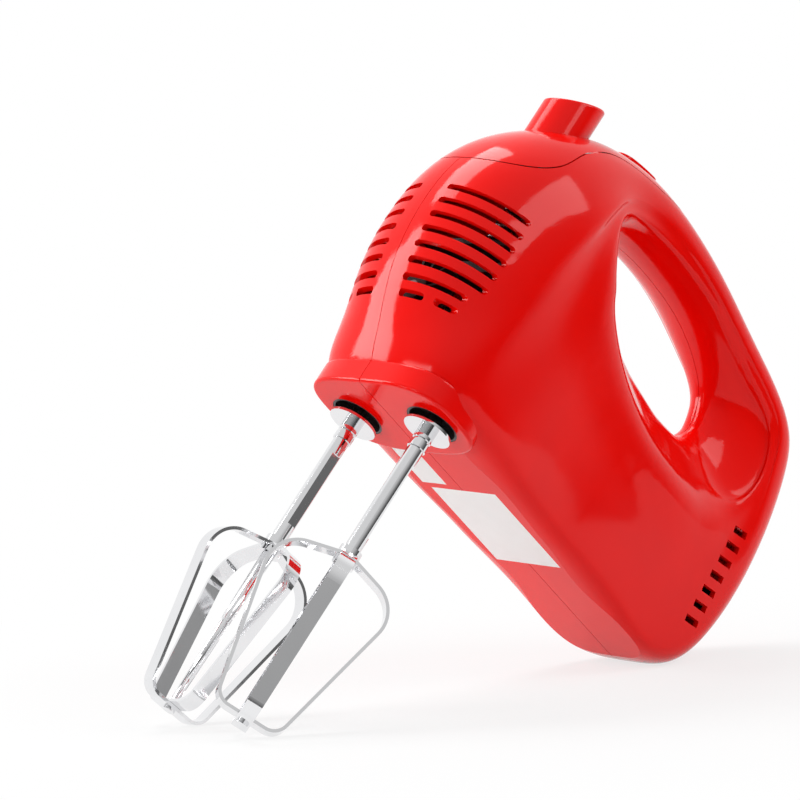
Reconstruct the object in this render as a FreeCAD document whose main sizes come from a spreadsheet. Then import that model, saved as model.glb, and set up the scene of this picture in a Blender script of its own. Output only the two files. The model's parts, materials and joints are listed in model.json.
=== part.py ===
import FreeCAD, Part
import math
import os
import re

import Sketcher
from FreeCAD import Placement, Rotation, Vector

# Hand mixer.  Every piece is drawn in the mixer's own axes: +X to the nose, +Y to the left side, +Z up,
# away from the beaters.  x = 0 is the plane of the two beater spindles and z = 0 is the flat underside.
# The finished pieces then share one Placement that sets the mixer down on its beaters and its heel.

DIMENSIONS = {
    # housing
    "wall": 2.3,
    "seam_gap": 0.25,
    "collar_length": 38.5,
    "collar_width": 63.0,
    "collar_middle": 1.75,
    "collar_bottom": -1.5,
    "collar_top": 7.5,
    "socket_radius": 9.3,
    "socket_roof": 3.5,
    "socket_flange": 10.2,
    "vent_pitch": 5.75,
    "vent_width": 2.4,
    "vent_lowest": 32.9,
    "vent_split": 27.9,
    "vent_inner": 6.4,
    "vent_rear": 19.0,
    "vent_count": 7,
    "vent_reach": 30.0,
    "vent_stagger": 3.0,
    "vent_bridge_inner": 16.5,
    "vent_bridge_outer": 20.0,
    "rear_vent_pitch": 6.35,
    "rear_vent_width": 2.6,
    "rear_vent_length": 7.0,
    "rear_vent_middle": 137.5,
    "rear_vent_lowest": 21.3,
    "rear_vent_tilt": 12.0,
    "screw_radius": 1.45,
    "screw_head_radius": 2.8,
    "screw_head_depth": 2.0,
    "screw_length": 16.0,
    "boss_radius": 3.8,
    # controls
    "knob_x": 7.2,
    "knob_radius": 10.0,
    "knob_bottom": 98.0,
    "knob_top": 129.0,
    "knob_slope": 27.0,
    "knob_clearance": 0.4,
    "knob_travel": 10.0,
    "turbo_x": -26.5,
    "turbo_length": 19.0,
    "turbo_width": 13.0,
    "turbo_proud": 1.8,
    "turbo_bottom": 124.6,
    "knob_rim": 1.0,
    "slider_z": 102.0,
    "slider_width": 23.0,
    "slider_ahead": 12.5,
    "slider_behind": 14.0,
    "sleeve_height": 6.0,
    "sleeve_wall": 1.0,
    "guide_z": 64.0,
    "guide_thick": 2.0,
    "guide_front": 12.0,
    "guide_length": 16.0,
    "guide_width": 55.0,
    "rod_x": 4.0,
    "rod_radius": 2.2,
    "bar_low": 56.0,
    "bar_thick": 4.0,
    "bar_edge": 3.5,
    "pad_radius": 7.0,
    "pad_thick": 3.0,
    "pin_radius": 2.4,
    "pin_low": 45.0,
    "spring_top": 86.0,
    "spring_wire": 0.5,
    "spring_radius": 3.6,
    "switch_front": -24.0,
    "switch_length": 16.0,
    "switch_width": 16.0,
    "switch_low": 112.0,
    "switch_height": 9.0,
    "blade_length": 4.0,
    "blade_width": 2.0,
    "blade_thick": 0.8,
    "contact_thick": 0.5,
    "contact_width": 6.0,
    # beaters and their drive
    "spindle_gap": 36.8,
    "spindle_radius": 4.6,
    "spindle_bottom": 3.5,
    "spindle_top": 46.0,
    "bore_radius": 2.9,
    "shank_radius": 2.82,
    "shank_top": 44.5,
    "shaft_radius": 2.8,
    "neck_radius": 3.3,
    "neck_length": 7.0,
    "disc_radius": 8.5,
    "disc_thick": 0.9,
    "disc_z": -3.9,
    "hub_z": -53.0,
    "hub_low": -59.0,
    "ring_low": 2.6,
    "ring_width": 1.0,
    "ring_depth": 0.5,
    "facet_depth": 0.5,
    "facet_end": 6.0,
    "rivet_radius": 1.2,
    "rivet_head": 2.1,
    "rivet_thick": 0.8,
    "tip_z": -121.0,
    "hub_radius": 3.85,
    "strip_width": 5.4,
    "strip_thick": 1.1,
    "bush_radius": 7.0,
    "gear_teeth": 22,
    "gear_pitch_radius": 11.1,
    "gear_width": 7.0,
    "worm_z": 36.0,
    "worm_starts": 2,
    "worm_length": 22.0,
    "motor_shaft_radius": 2.5,
    "bearing_radius": 4.5,
    "frame_low": 21.0,
    "frame_high": 25.0,
    "frame_front": 16.0,
    "frame_rear": -18.5,
    "frame_width": 50.0,
    "upright_inner": 13.0,
    "upright_thick": 3.0,
    "upright_width": 12.0,
    # motor
    "stator_front": -24.0,
    "stator_length": 30.0,
    "stator_width": 42.0,
    "stator_depth": 38.0,
    "stator_bore": 12.3,
    "armature_radius": 11.8,
    "commutator_radius": 6.5,
    "commutator_front": -59.0,
    "commutator_length": 8.0,
    "fan_radius": 15.0,
    "fan_front": 23.5,
    "fan_depth": 5.5,
    "fan_hub": 6.0,
    "blade_count": 12,
    "armature_slots": 12,
    "slot_floor": 6.5,
    "slot_width": 2.6,
    "winding_radius": 9.8,
    "winding_over": 3.9,
    "winding_rounding": 2.2,
    "coil_inner": 13.0,
    "coil_outer": 17.0,
    "coil_low": 2.2,
    "coil_high": 10.0,
    "coil_over": 4.5,
    "coil_crown": 17.0,
    "coil_arch": 12.9,
    "stator_bevel": 6.0,
    "brush_half": 3.0,
    "brush_length": 8.4,
    "bracket_front": -69.0,
    "bracket_thick": 3.0,
    "bracket_width": 40.0,
    "bracket_height": 30.0,
    "arm_front": -58.0,
    "arm_thick": 1.5,
    "arm_height": 8.0,
    "shaft_rear": -73.5,
    # underside
    "label_front": -39.6,
    "label_length": 40.2,
    "label_width": 31.3,
    "label_middle": 0.0,
    "label_thick": 0.25,
    "front_label_front": -18.0,
    "front_label_length": 19.0,
    "front_label_width": 12.0,
    "front_label_middle": -12.0,
    "gland_z": 42.0,
    "gland_rear": -160.0,
    "gland_bore": 3.3,
    "gland_radius": 5.5,
    "gland_length": 14.0,
}

doc = FreeCAD.newDocument("hand_mixer")
sheet = doc.addObject("Spreadsheet::Sheet", "Dimensions")
for row, (alias, value) in enumerate(DIMENSIONS.items(), start=1):
    sheet.set(f"A{row}", alias)
    sheet.set(f"B{row}", str(value))
    sheet.setAlias(f"B{row}", alias)
doc.recompute()

NODES = {}


def dim(alias):
    return float(sheet.get(alias))


def cells(expression):
    """The expression with every alias in it pointing at the sheet."""
    return re.sub(
        r"[a-z_]{3,}",
        lambda word: f"Dimensions.{word[0]}" if word[0] in DIMENSIONS else word[0],
        expression,
    )


def number(expression):
    """The value of an expression that uses the sheet's aliases."""
    return float(sheet.evalExpression(cells(expression)))


def node(label, obj):
    """Keep obj as the sub-part called label."""
    obj.Label = label
    NODES[label] = obj
    return obj


def coded(label, shape):
    """A sub-part whose free-form shape is worked out in code."""
    obj = doc.addObject("Part::Feature", label)
    obj.Shape = shape.Solids[0] if len(shape.Solids) == 1 else shape
    return node(label, obj)


def primitive(kind, name, at=(0, 0, 0), turn=None, **sizes):
    """A Part primitive with its sizes bound to the sheet."""
    obj = doc.addObject(f"Part::{kind}", name)
    for prop, expression in sizes.items():
        obj.setExpression(prop, cells(expression))
    obj.Placement = Placement(Vector(0, 0, 0), turn or Rotation())
    for axis, expression in zip("xyz", at):
        obj.setExpression(f"Placement.Base.{axis}", cells(str(expression)))
    return obj


def fuse(name, *parts):
    obj = doc.addObject("Part::MultiFuse", name)
    obj.Shapes = list(parts)
    return obj


def cut(name, base, *tools):
    """base with every tool cut out of it."""
    obj = doc.addObject("Part::Cut", name)
    obj.Base = base
    obj.Tool = tools[0] if len(tools) == 1 else fuse(name + "_tools", *tools)
    return obj


def plane(body, role):
    return next(o for o in body.Origin.OriginFeatures if o.Role == role)


def sketch_on(body, role, name, height="0"):
    sketch = body.newObject("Sketcher::SketchObject", name)
    sketch.AttachmentSupport = (plane(body, role), [""])
    sketch.MapMode = "FlatFace"
    sketch.setExpression("AttachmentOffset.Base.z", cells(height))
    return sketch


def polygon(sketch, corners):
    """A closed polygon whose every corner is held by two dimensions from the sheet."""
    first = sketch.GeometryCount
    points = [Vector(number(a), number(b), 0) for a, b in corners]
    for a, b in zip(points, points[1:] + points[:1]):
        sketch.addGeometry(Part.LineSegment(a, b))
    count = len(points)
    for k in range(count):
        following = first + (k + 1) % count
        sketch.addConstraint(Sketcher.Constraint("Coincident", first + k, 2, following, 1))
    for k, corner in enumerate(corners, start=first):
        for kind, expression in zip(("DistanceX", "DistanceY"), corner):
            index = sketch.addConstraint(
                Sketcher.Constraint(kind, -1, 1, k, 1, number(expression))
            )
            sketch.setExpression(f"Constraints[{index}]", cells(expression))


def circle(sketch, radius, at=("0", "0")):
    centre = Vector(number(at[0]), number(at[1]), 0)
    k = sketch.addGeometry(Part.Circle(centre, Vector(0, 0, 1), number(radius)))
    index = sketch.addConstraint(Sketcher.Constraint("Radius", k, number(radius)))
    sketch.setExpression(f"Constraints[{index}]", cells(radius))
    for kind, expression in zip(("DistanceX", "DistanceY"), at):
        index = sketch.addConstraint(Sketcher.Constraint(kind, -1, 1, k, 3, number(expression)))
        sketch.setExpression(f"Constraints[{index}]", cells(expression))


def revolved(label, corners, at=(0, 0, 0), turn=None):
    """A turned piece: corners are (radius, height) along its own axis, +Z unless turned."""
    body = doc.addObject("PartDesign::Body", label)
    sketch = sketch_on(body, "XZ_Plane", label + "_profile")
    polygon(sketch, corners)
    turned = body.newObject("PartDesign::Revolution", label + "_turning")
    turned.Profile = sketch
    turned.ReferenceAxis = (sketch, ["V_Axis"])
    turned.Angle = 360
    body.Placement = Placement(Vector(*at), turn or Rotation())
    return node(label, body)


def padded(label, draw, length, height="0", role="XY_Plane"):
    """A piece padded from one sketch, which draw(sketch) fills."""
    body = doc.addObject("PartDesign::Body", label)
    sketch = sketch_on(body, role, label + "_outline", height)
    draw(sketch)
    pad = body.newObject("PartDesign::Pad", label + "_pad")
    pad.Profile = sketch
    pad.setExpression("Length", cells(length))
    return node(label, body)


# ---------------------------------------------------------------------------
# The housing's skin: a ring of sections round the finger opening
# ---------------------------------------------------------------------------

# Each spoke runs from the opening's edge on the middle plane out to the side view's outline:
# (outline x, z), (opening x, z), mouth depth and half width, rim depth and half width,
# half width where the outer rounding starts, length of that rounding, and its fullness.
SPOKES = [
    ((-65, 0), (-72, 74), 8, 15, 21, 26, 26.5, 10, 4.5),
    ((-35, 0), (-50, 81), 8, 15, 20, 28, 29.5, 11, 4.5),
    ((-10, 0), (-40, 87.5), 8, 15, 20, 29.5, 32.5, 14, 4.2),
    ((8, 0), (-37, 90), 8, 15, 19, 30, 33.5, 19, 3.8),
    ((19, 5), (-36, 91.5), 8, 15, 18, 30, 34.2, 27, 3.1),
    ((26, 17), (-34.5, 93), 7.5, 15, 17, 29.8, 34.4, 35, 2.7),
    ((34, 34), (-33, 95), 7.5, 15, 16, 29.2, 34.4, 41, 2.5),
    ((38.2, 56), (-31.5, 97.5), 7, 15, 15, 28, 33.8, 44, 2.4),
    ((36.6, 77), (-30.5, 99.5), 7, 15, 14, 26.5, 32, 42, 2.3),
    ((29.8, 94), (-30, 101), 6.5, 14.5, 13, 25, 29.5, 37, 2.2),
    ((19, 107.5), (-30.5, 102.5), 6, 14, 11.5, 23, 26.5, 30, 2.2),
    ((5, 118.5), (-33, 104), 5.5, 13.5, 9.5, 20.5, 23.0, 23, 2.2),
    ((-12, 126.3), (-39, 106), 5, 13, 8, 18, 19.5, 17.5, 2.2),
    ((-32, 130.5), (-49, 107.6), 4.5, 13, 7, 16.5, 17.5, 14, 2.2),
    ((-54, 130.4), (-62, 108), 4.2, 12.9, 6.5, 15.8, 17.0, 12.5, 2.2),
    ((-78, 126.6), (-78, 106.6), 3.8, 12.8, 6, 15.8, 17.0, 11, 2.2),
    ((-104, 120), (-93, 102), 4.8, 13, 7.5, 16.0, 17.2, 11, 2.2),
    ((-128, 113), (-102.5, 96.5), 10.5, 13.5, 13.5, 16.6, 17.5, 12.5, 2.2),
    ((-144, 103.5), (-107, 91), 19, 14.5, 22.5, 17.0, 18.0, 13.5, 2.2),
    ((-151.5, 90), (-108.8, 85), 23, 15, 26, 17.6, 18.5, 15, 2.2),
    ((-156.5, 68), (-109, 81), 24, 15.5, 27, 18.2, 19.0, 15.5, 2.2),
    ((-157, 44), (-107.5, 77.5), 20, 15.5, 27.5, 19.5, 19.8, 15, 2.3),
    ((-153, 22), (-105, 75), 14.5, 15.5, 27, 21, 20.6, 14, 2.6),
    ((-144.5, 6.5), (-102, 73.5), 11, 15.5, 25.5, 22, 21.2, 12, 3.2),
    ((-130, 0), (-98, 72.6), 9, 15.5, 24, 23.2, 22.0, 10, 4.2),
    ((-100, 0), (-87, 72.2), 8.5, 15, 22, 24.8, 24.3, 10, 4.5),
]
UNDERCUT = 0.6  # how far the skin passes below the underside before it is trimmed flat
ROUNDING_ANGLES = (15, 30, 45, 60, 74, 83)


def section(spoke, inset):
    """Points of one spoke's half section, from the opening to the outline, moved inwards by inset."""
    (xo, zo), (xi, zi), mouth, mouth_y, rim, rim_y, edge_y, rounding, fullness = spoke
    start = Vector(xi, 0, zi)
    along = Vector(xo, 0, zo - (UNDERCUT if zo == 0 else 0)) - start
    length = along.Length
    along.normalize()
    edge = length - rounding
    profile = [(0, 0)]
    profile += [(mouth * part**2.4, mouth_y * part) for part in (0.4, 0.75, 1.0)]
    profile += [((mouth + rim) / 2, (mouth_y + rim_y) / 2 + 0.6), (rim, rim_y)]
    profile += [(rim + (edge - rim) * part, rim_y + (edge_y - rim_y) * part) for part in (0.3, 0.65, 1.0)]
    for angle in map(math.radians, ROUNDING_ANGLES):
        reach = rounding * math.sin(angle) ** (2 / fullness)
        profile.append((edge + reach, edge_y * math.cos(angle) ** (2 / fullness)))
    profile.append((length, 0))
    if inset:
        profile = moved_inwards(profile, inset)
    return [start + along * s + Vector(0, y, 0) for s, y in profile]


def moved_inwards(profile, inset):
    moved = []
    last = len(profile) - 1
    for k, (s, y) in enumerate(profile):
        before = profile[max(k - 1, 0)]
        after = profile[min(k + 1, last)]
        ds, dy = after[0] - before[0], after[1] - before[1]
        size = math.hypot(ds, dy)
        moved.append((s + inset * dy / size, y - inset * ds / size))
    moved[0] = (profile[0][0] + inset, 0)
    moved[-1] = (profile[-1][0] - inset, 0)
    return moved


def spacing(rows):
    """Interpolation parameters shared by all rows: mean distance between neighbouring points."""
    steps = []
    for k in range(len(rows[0]) - 1):
        steps.append(sum((row[k + 1] - row[k]).Length for row in rows) / len(rows))
    places = [0.0]
    for step in steps:
        places.append(places[-1] + step**0.8)
    return [place / places[-1] for place in places]


def through(rows):
    """A surface through every point of the rows, closed on itself from the last row to the first."""
    across = spacing(rows)
    curves = []
    for row in rows:
        curve = Part.BSplineCurve()
        curve.interpolate(Points=row, Parameters=across)
        curves.append(curve)
    poles = [curve.getPoles() for curve in curves]
    around = spacing([[row[k] for row in poles + poles[:1]] for k in range(len(poles[0]))])
    grid = []
    for k in range(len(poles[0])):
        ring = Part.BSplineCurve()
        ring.interpolate(Points=[row[k] for row in poles], PeriodicFlag=True, Parameters=around)
        grid.append(ring.getPoles())
    surface = Part.BSplineSurface()
    surface.buildFromPolesMultsKnots(
        [list(column) for column in zip(*grid)],
        ring.getMultiplicities(),
        curves[0].getMultiplicities(),
        ring.getKnots(),
        curves[0].getKnots(),
        True,
        False,
        ring.Degree,
        curves[0].Degree,
    )
    return surface


def closed(faces):
    """The solid that the faces enclose."""
    shell = Part.makeShell(faces)
    shell.sewShape()
    solid = Part.makeSolid(shell)
    solid.fix(1e-4, 1e-4, 1e-4)
    return solid


def ring_face(outer, inner):
    return Part.makeFace([Part.Wire(outer), Part.Wire(inner)], "Part::FaceMakerBullseye")


def side_and_rims(inset):
    """The left side's surface and its two edges on the middle plane: the opening's, then the outline."""
    side = through([section(spoke, inset) for spoke in SPOKES]).toShape()
    rims = [e for e in side.Edges if max(abs(e.BoundBox.YMin), abs(e.BoundBox.YMax)) < 0.01]
    return side, sorted(rims, key=lambda edge: edge.Length)


def half_block(inset=0.0):
    """The left half of the body as if it were solid."""
    side, (opening, outline) = side_and_rims(inset)
    return closed([side, ring_face(outline, opening)])


def half_shell():
    """The left half of the body's wall, open on the middle plane."""
    outer, (outer_opening, outer_outline) = side_and_rims(0.0)
    inner, (inner_opening, inner_outline) = side_and_rims(dim("wall"))
    lips = [ring_face(inner_opening, outer_opening), ring_face(outer_outline, inner_outline)]
    return closed([outer, inner] + lips)


def mirrored(shape):
    return shape.mirror(Vector(0, 0, 0), Vector(0, 1, 0))


def block(x0, x1, y0, y1, z0, z1):
    """A plain box between two corners."""
    return Part.makeBox(x1 - x0, y1 - y0, z1 - z0, Vector(x0, y0, z0))


def rounded_slot(x0, x1, y0, y1, z0, z1, radius):
    """A box whose four upright edges are rounded."""
    box = block(x0, x1, y0, y1, z0, z1)
    upright = [e for e in box.Edges if abs(e.tangentAt(e.FirstParameter).z) > 0.9]
    return box.makeFillet(radius, upright)


BIG = 400.0  # longer than the mixer, for trimming boxes

# ---------------------------------------------------------------------------
# Housing halves and top cover
# ---------------------------------------------------------------------------

# The seam of the top cover in side view, from the nose back over the handle.
SEAM = [
    (45, 77), (35.5, 81.5), (30, 84), (22, 89), (16, 95), (12, 101), (8, 107), (3, 112), (-3, 116.6),
    (-12, 120.5), (-20, 122.5), (-30, 124.3), (-43, 127), (-52, 130), (-58, 134), (-62, 140),
]
COLLAR_FULLNESS = 3.2
# Each screw's (x, z) and how far its boss reaches from the middle plane into the wall.
SCREWS = [
    (27, 77, 19.0), (-18, 9, 30.0), (-70, 9, 25.0), (-122, 10, 21.0), (-136, 99, 14.5), (-78, 116.6, 15.2),
]
SCREW_SEAT = 8.0  # depth of a screw's seat from the middle plane
# The stickers under the flat underside, each with its front edge, length, width and middle.
LABELS = {
    "rating_label": ("label_front", "label_length", "label_width", "label_middle"),
    "front_label": ("front_label_front", "front_label_length", "front_label_width", "front_label_middle"),
}


def above_seam(shift):
    """Everything above the top cover's seam, with the seam moved forwards and up by shift."""
    points = [Vector(x + shift, -BIG / 2, z + shift) for x, z in SEAM]
    seam = Part.BSplineCurve()
    seam.interpolate(Points=points)
    front, rear = points[0], points[-1]
    high_rear = Vector(rear.x, rear.y, BIG)
    high_front = Vector(front.x, front.y, BIG)
    lines = [(rear, high_rear), (high_rear, high_front), (high_front, front)]
    edges = [seam.toShape()] + [Part.LineSegment(a, b).toShape() for a, b in lines]
    return Part.Face(Part.Wire(edges)).extrude(Vector(0, BIG, 0))


def collar_block(inset, low, high):
    """The collar's plan, a superellipse, between two heights."""
    along = dim("collar_length") / 2 - inset
    aside = dim("collar_width") / 2 - inset
    count = 24
    points = []
    for k in range(count):
        c, s = math.cos(2 * math.pi * k / count), math.sin(2 * math.pi * k / count)
        x = dim("collar_middle") + along * math.copysign(abs(c) ** (2 / COLLAR_FULLNESS), c)
        points.append(Vector(x, aside * math.copysign(abs(s) ** (2 / COLLAR_FULLNESS), s), low))
    plan = Part.BSplineCurve()
    plan.interpolate(Points=points, PeriodicFlag=True)
    return Part.Face(Part.Wire(plan.toShape())).extrude(Vector(0, 0, high - low))


def collar():
    """The tray round the beater sockets, open at the top."""
    floor = dim("collar_bottom") + dim("wall")
    outer = collar_block(0, dim("collar_bottom"), dim("collar_top"))
    edges = [e for e in outer.Edges if abs(e.BoundBox.ZMax - e.BoundBox.ZMin) < 0.01]
    outer = outer.makeFillet(1.0, edges)
    return outer.cut(collar_block(dim("wall"), floor, dim("collar_top") + 1))


def socket_holes():
    gap, fit = dim("spindle_gap") / 2, 0.05
    seat = dim("collar_bottom") + dim("wall")
    hole = Part.makeCylinder(dim("socket_radius") + fit, 12, Vector(0, gap, -3))
    flange = Part.makeCylinder(dim("socket_flange") + fit, 6, Vector(0, gap, seat))
    return hole.fuse(flange)


def front_slot(x0, z, y0=None, y1=None):
    """One level slot from x0 forwards, between y0 and y1 from the middle plane, its ends rounded."""
    high, front = dim("vent_width"), dim("vent_rear") + dim("vent_reach")
    y0 = y0 or dim("vent_inner")
    y1 = y1 or dim("vent_inner") + dim("vent_reach")
    slot = block(x0, front, y0, y1, z - high / 2, z + high / 2)
    rear, sides = [], []
    for edge in slot.Edges:
        along, middle = edge.tangentAt(edge.FirstParameter), edge.CenterOfMass
        if abs(along.y) > 0.9 and abs(middle.x - x0) < 0.01:
            rear.append(edge)
        if abs(along.x) > 0.9:
            sides.append(edge)
    rounding = high * 0.49
    return slot.makeFillet(rounding, rear).common(slot.makeFillet(rounding, sides))


def vent_tools():
    """The air slots of the left half: a ladder of them round the nose and a row near the heel."""
    rear, lowest, count = dim("vent_rear"), dim("vent_lowest"), int(dim("vent_count"))
    tools = [front_slot(rear + dim("vent_stagger"), lowest)]
    tools += [front_slot(rear, lowest + k * dim("vent_pitch")) for k in range(1, count)]
    tools.append(front_slot(rear, dim("vent_split"), y1=dim("vent_bridge_inner")))
    tools.append(front_slot(rear + dim("vent_stagger"), dim("vent_split"), y0=dim("vent_bridge_outer")))
    length, width, x = dim("rear_vent_length"), dim("rear_vent_width"), -dim("rear_vent_middle")
    for k in range(count):
        z = dim("rear_vent_lowest") + k * dim("rear_vent_pitch")
        slot = block(x - length / 2, x + length / 2, 8, 40, z - width / 2, z + width / 2)
        slot.rotate(Vector(x, 0, z), Vector(0, 1, 0), dim("rear_vent_tilt"))
        tools.append(slot)
    return tools


def label_recesses():
    """The shallow recesses in the flat underside that the stickers fill."""
    tools = []
    for sizes in LABELS.values():
        front, length, width, middle = [dim(alias) for alias in sizes]
        tools.append(block(front - length, front, middle - width / 2, middle + width / 2,
                           0, dim("label_thick")))
    return tools


def bosses():
    """Screw bosses of a left half, from the middle plane into the wall."""
    start = dim("seam_gap") / 2
    return [Part.makeCylinder(dim("boss_radius"), reach - start, Vector(x, start, z), Vector(0, 1, 0))
            for x, z, reach in SCREWS]


def ribs(solid_half):
    """Ribs inside a left half that hold the motor, the gear frame and the ejector's guide."""
    half = dim("stator_width") / 2
    found = []
    for x in (-32.0, -46.0):
        found.append(block(x - 1, x + 1, half, 60, 20, 52).common(solid_half))
    ledge = dim("frame_width") / 2 - 1
    found.append(block(dim("frame_rear"), dim("frame_front"), ledge, 60, dim("frame_low") - 2,
                       dim("frame_low")).common(solid_half))
    found.append(block(-5, 13, 26, 60, dim("guide_z") - 2, dim("guide_z")).common(solid_half))
    return found


def housing(side):
    """One housing half, drawn on the left; the right one takes the screw heads."""
    solid_half = half_block(dim("wall") / 2)
    keep = block(-BIG / 2, BIG / 2, dim("seam_gap") / 2, BIG / 2, 0, BIG)
    shape = half_shell().common(keep).cut(above_seam(0.0))
    low_keep = block(-BIG / 2, BIG / 2, dim("seam_gap") / 2, BIG / 2, -BIG / 2, BIG)
    shape = shape.fuse(collar().common(low_keep)).cut(socket_holes())
    shape = shape.cut(vent_tools())
    for piece in bosses() + ribs(solid_half):
        shape = shape.fuse(piece)
    drill = []
    for x, z, _ in SCREWS:
        deep = 10.0 if side == "left" else 60.0
        drill.append(Part.makeCylinder(dim("screw_radius") + 0.05, deep, Vector(x, 0, z), Vector(0, 1, 0)))
        if side == "right":
            drill.append(Part.makeCylinder(dim("screw_head_radius") + 0.3, 60, Vector(x, SCREW_SEAT, z),
                                           Vector(0, 1, 0)))
    behind = Vector(dim("gland_rear") - 10, 0, dim("gland_z"))
    gland = Part.makeCylinder(dim("gland_radius") + 0.05, 30, behind, Vector(1, 0, 0))
    shape = shape.cut(drill + [gland])
    placed = shape if side == "left" else mirrored(shape)
    return placed.cut(label_recesses())


def knob_slot():
    radius = dim("knob_radius") + dim("knob_clearance")
    x1 = dim("knob_x")
    x0 = x1 - dim("knob_travel") * math.cos(math.radians(dim("knob_slope")))
    low, high = 80, 60
    ends = [Part.makeCylinder(radius, high, Vector(x, 0, low)) for x in (x0, x1)]
    return ends[0].fuse([ends[1], block(x0, x1, -radius, radius, low, low + high)])


def turbo_plan(clearance, low, high):
    """The turbo button's plan between two heights, larger all round by clearance."""
    length, width = dim("turbo_length") / 2 + clearance, dim("turbo_width") / 2 + clearance
    x = dim("turbo_x")
    return rounded_slot(x - length, x + length, -width, width, low, high, 4.0 + clearance)


def top_cover():
    half = half_shell().common(above_seam(dim("seam_gap")))
    half = half.common(block(-BIG / 2, BIG / 2, 0, BIG / 2, 0, BIG))
    whole = half.fuse(mirrored(half)).removeSplitter()
    return whole.cut([knob_slot(), turbo_plan(0.25, 100, 150)])


def turbo_button():
    proud = half_block(-dim("turbo_proud"))
    plan = turbo_plan(0, dim("turbo_bottom"), 150)
    half = plan.common(proud)
    return half.fuse(mirrored(half)).removeSplitter()


coded("housing_left", housing("left"))
coded("housing_right", housing("right"))
coded("top_cover", top_cover())
coded("turbo_button", turbo_button())

# ---------------------------------------------------------------------------
# Sockets, labels, cord bush and screws
# ---------------------------------------------------------------------------

ALONG_X = Rotation(Vector(0, 1, 0), 90)  # turns a piece's own +Z to the mixer's +X
ALONG_Y = Rotation(Vector(1, 0, 0), -90)  # turns a piece's own +Z to the mixer's +Y
SIDES = {"left": 1, "right": -1}


def socket_ring(side):
    """Black insert of one beater socket: a cup, open downwards, with a flange that holds it in."""
    seat = "collar_bottom + wall"
    rim = "socket_radius - 0.8"
    corners = [
        (rim, "collar_bottom + 0.1"), ("socket_radius", "collar_bottom + 0.1"), ("socket_radius", seat),
        ("socket_flange", seat), ("socket_flange", "socket_roof + 1.5"),
        ("spindle_radius + 0.35", "socket_roof + 1.5"), ("spindle_radius + 0.35", "socket_roof"),
        (rim, "socket_roof"),
    ]
    return revolved(f"socket_ring_{side}", corners, at=(0, SIDES[side] * dim("spindle_gap") / 2, 0))


def label_plate(label, front, length, width, middle):
    """A sticker flush with the flat underside, in its recess."""
    def outline(sketch):
        x0, x1 = f"{front} - {length}", front
        y0, y1 = f"{middle} - {width} / 2", f"{middle} + {width} / 2"
        polygon(sketch, [(x0, y0), (x1, y0), (x1, y1), (x0, y1)])
    return padded(label, outline, "label_thick")


def screws():
    """The six housing screws: countersunk heads on the right, threads in the left half's bosses."""
    pieces = []
    for x, z, _ in SCREWS:
        seat = Vector(x, -SCREW_SEAT, z)
        shank = Part.makeCylinder(dim("screw_radius"), dim("screw_length"), seat, Vector(0, 1, 0))
        head = Part.makeCylinder(dim("screw_head_radius"), dim("screw_head_depth"), seat, Vector(0, -1, 0))
        cross = block(x - 1.8, x + 1.8, -SCREW_SEAT - 4, -SCREW_SEAT - 1.1, z - 0.4, z + 0.4)
        turned = cross.copy()
        turned.rotate(seat, Vector(0, 1, 0), 90)
        pieces.append(shank.fuse(head).cut([cross, turned]))
    return Part.makeCompound(pieces)


for side in SIDES:
    socket_ring(side)
for label, sizes in LABELS.items():
    label_plate(label, *sizes)
revolved(
    "cord_bush",
    [("gland_bore", "0"), ("gland_radius", "0"), ("gland_radius", "gland_length - 2"),
     ("gland_radius + 2", "gland_length - 2"), ("gland_radius + 2", "gland_length"),
     ("gland_bore", "gland_length")],
    at=(dim("gland_rear"), 0, dim("gland_z")),
    turn=ALONG_X,
)
coded("housing_screws", screws())

# ---------------------------------------------------------------------------
# Gear frame, spindles and worm drive
# ---------------------------------------------------------------------------

MODULE = 2 * dim("gear_pitch_radius") / dim("gear_teeth")
WORM_PITCH_RADIUS = dim("spindle_gap") / 2 - dim("gear_pitch_radius")
WORM_LEAD = dim("worm_starts") * math.pi * MODULE
ADDENDUM = 0.88 * MODULE
DEDENDUM = 1.17 * MODULE
TOOTH_THICK = 1.27 * MODULE  # at the pitch line, which leaves about 0.3 mm of play on each flank
FLANK = math.tan(math.radians(20))


def tooth_flanks(pitch_radius):
    """Half thickness and radius of a tooth at its root and at its tip."""
    root = (TOOTH_THICK / 2 + DEDENDUM * FLANK, pitch_radius - DEDENDUM)
    tip = (TOOTH_THICK / 2 - ADDENDUM * FLANK, pitch_radius + ADDENDUM)
    return root, tip


def worm_wheel(side):
    """Helical wheel on one spindle, with a tooth pointing at the worm at mid height."""
    middle = Vector(0, SIDES[side] * dim("spindle_gap") / 2, 0)
    radius, count, width = dim("gear_pitch_radius"), int(dim("gear_teeth")), dim("gear_width")
    root, tip = tooth_flanks(radius)
    slope = WORM_LEAD / (2 * math.pi * WORM_PITCH_RADIUS)  # along the worm per unit of height
    twist = math.degrees(width * slope / radius)
    wires = []
    for turn, height in ((-twist / 2, dim("worm_z") - width / 2), (twist / 2, dim("worm_z") + width / 2)):
        corners = []
        for k in range(count):
            facing = math.radians(90 + 360 * k / count + turn)
            for (half, r), sign in ((root, -1), (tip, -1), (tip, 1), (root, 1)):
                angle = facing + sign * math.atan(half / r)
                corners.append(middle + Vector(r * math.cos(angle), r * math.sin(angle), height))
        wires.append(Part.makePolygon(corners + corners[:1]))
    wheel = Part.makeLoft(wires, True, True)
    return wheel.cut(Part.makeCylinder(dim("spindle_radius"), 100, middle))


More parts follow.
